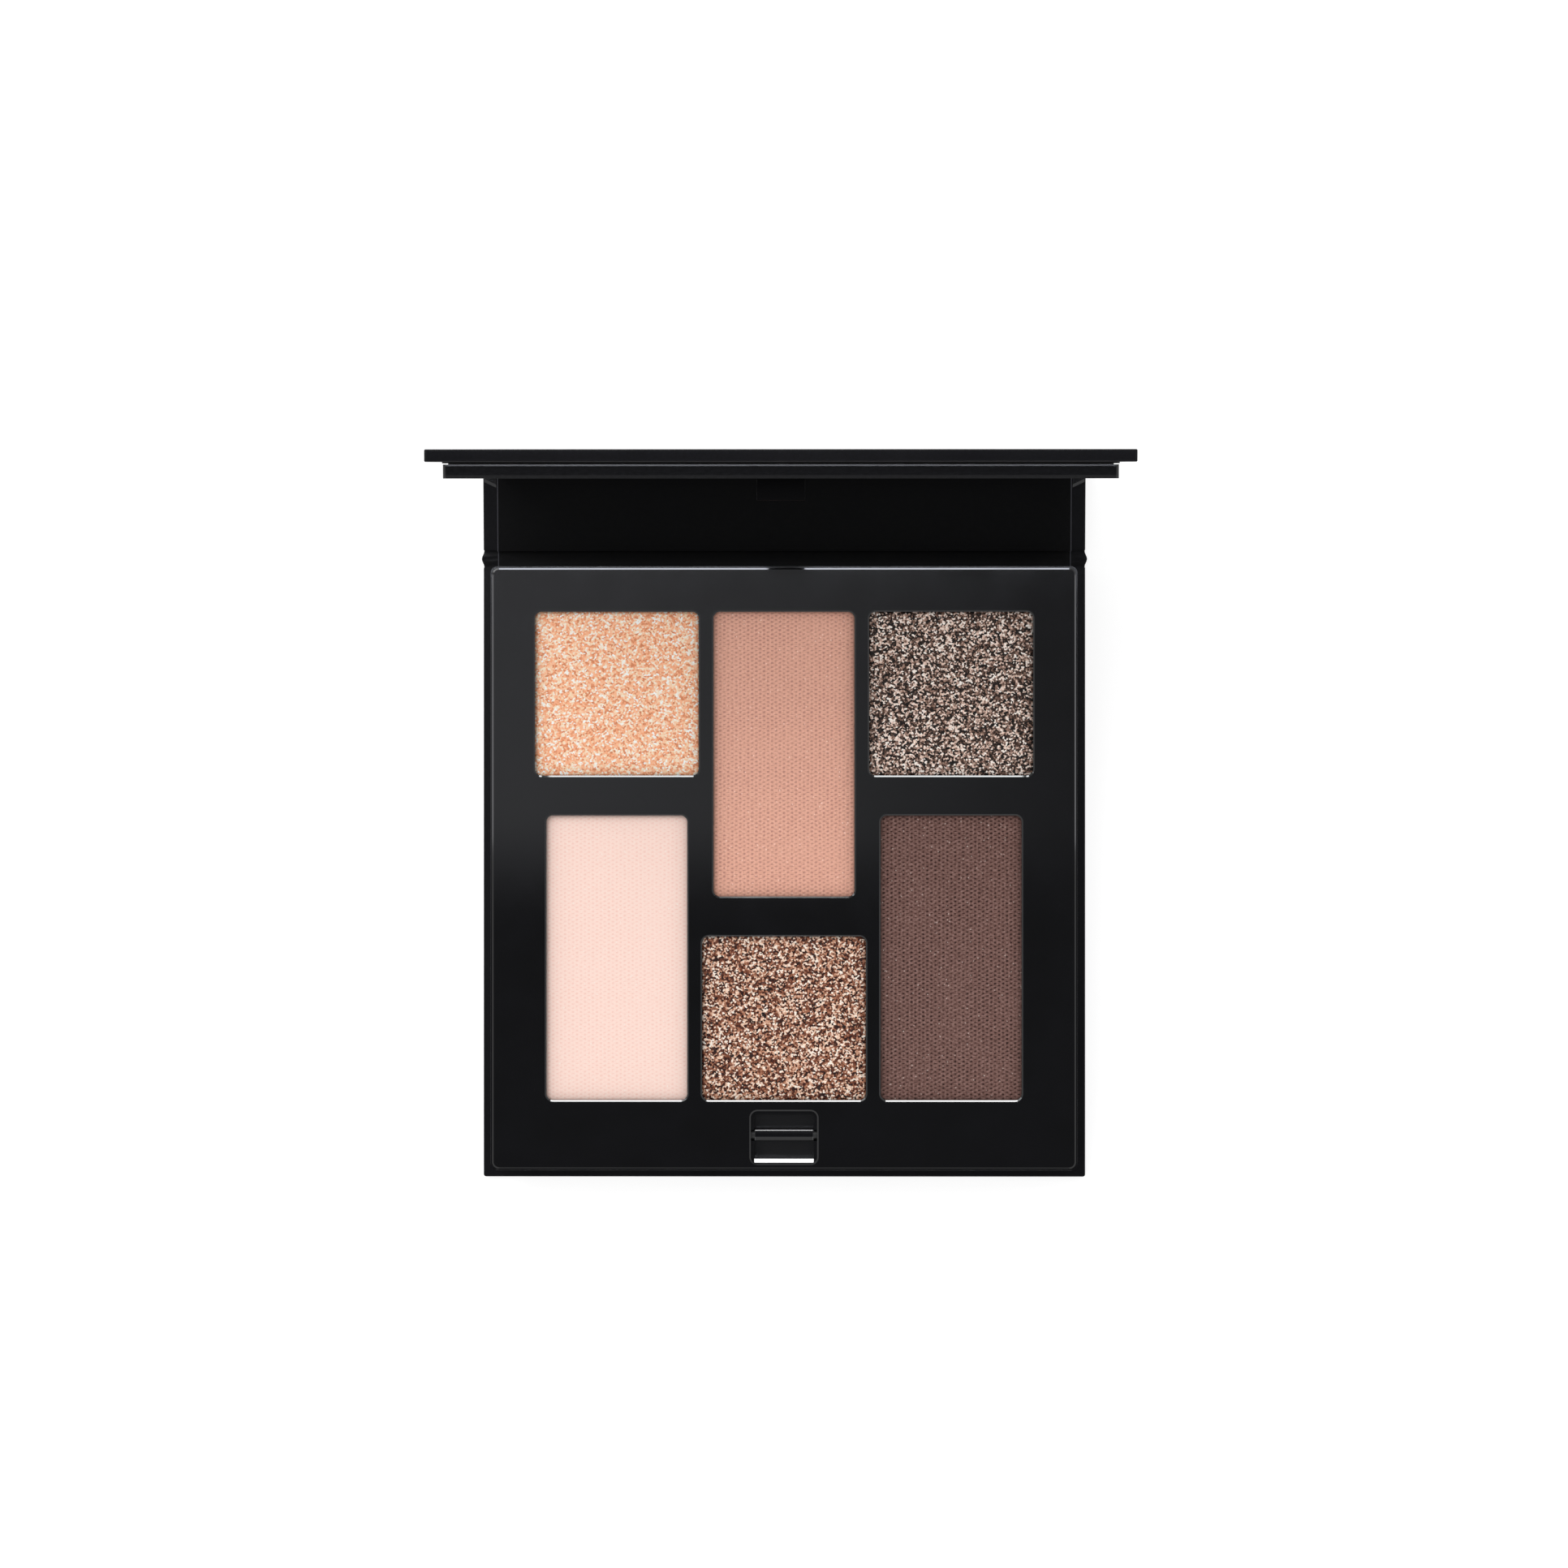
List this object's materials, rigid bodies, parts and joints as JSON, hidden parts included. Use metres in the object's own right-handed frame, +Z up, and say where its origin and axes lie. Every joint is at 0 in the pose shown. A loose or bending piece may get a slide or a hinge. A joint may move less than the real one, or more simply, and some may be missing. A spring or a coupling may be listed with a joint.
{
  "type": "eyeshadow palette",
  "caption": "Folding wallet-style eyeshadow palette: pressed powders in metal pans under a glossy windowed plate, a catch bar, and a mirrored lid on a two-fold cover.",
  "frame": {"origin": "centre of the base panel's underside, on the face the palette rests on", "axes": "+Z up, +Y from the catch to the fold and the open lid, +X to the right seen from the catch"},
  "size_m": [0.073, 0.088, 0.0764],
  "materials": {
    "cover_wrap": "matte",
    "grey_board": "matte",
    "lining_sheet": "matte",
    "adhesive_sheet": "satin",
    "tray_moulding": "satin",
    "plate_gloss": "gloss",
    "pin_black": "gloss",
    "frame_moulding": "satin",
    "mirror": "polished",
    "pan_aluminium": "satin",
    "powder_peach_shimmer": "satin",
    "powder_taupe_glitter": "satin",
    "powder_bronze_glitter": "satin",
    "powder_pink_matte": "matte",
    "powder_tan_matte": "matte",
    "powder_brown_matte": "matte"
  },
  "bodies": {
    "base": {"base_wrap": "cover_wrap", "base_board": "grey_board", "base_liner": "lining_sheet", "tray_adhesive": "adhesive_sheet", "pan_tray": "tray_moulding", "catch_housing": "tray_moulding", "bezel_plate": "plate_gloss", "catch_pin": "pin_black", "pan_glue": "adhesive_sheet", "square_pan_1": "pan_aluminium", "square_pan_2": "pan_aluminium", "square_pan_3": "pan_aluminium", "long_pan_1": "pan_aluminium", "long_pan_2": "pan_aluminium", "long_pan_3": "pan_aluminium", "square_powder_1": "powder_peach_shimmer", "square_powder_2": "powder_taupe_glitter", "square_powder_3": "powder_bronze_glitter", "long_powder_1": "powder_pink_matte", "long_powder_2": "powder_tan_matte", "long_powder_3": "powder_brown_matte"},
    "spine": {"spine_wrap": "cover_wrap", "spine_board": "grey_board", "spine_liner": "lining_sheet"},
    "lid": {"lid_wrap": "cover_wrap", "lid_board": "grey_board", "lid_liner": "lining_sheet", "frame_adhesive": "adhesive_sheet", "mirror_frame": "frame_moulding", "mirror_tape": "adhesive_sheet", "mirror_glass": "mirror"}
  },
  "joints": [
    {"name": "spine_fold", "type": "hinge", "parent": "base", "child": "spine", "pos_m": [0, 0.03815, 0.00055], "axis": [1, 0, 0], "range_deg": [-4.65, 85.35]},
    {"name": "lid_fold", "type": "hinge", "parent": "spine", "child": "lid", "pos_m": [0, 0.05056, 0.00156], "axis": [1, 0, 0], "range_deg": [-90, 0]}
  ]
}
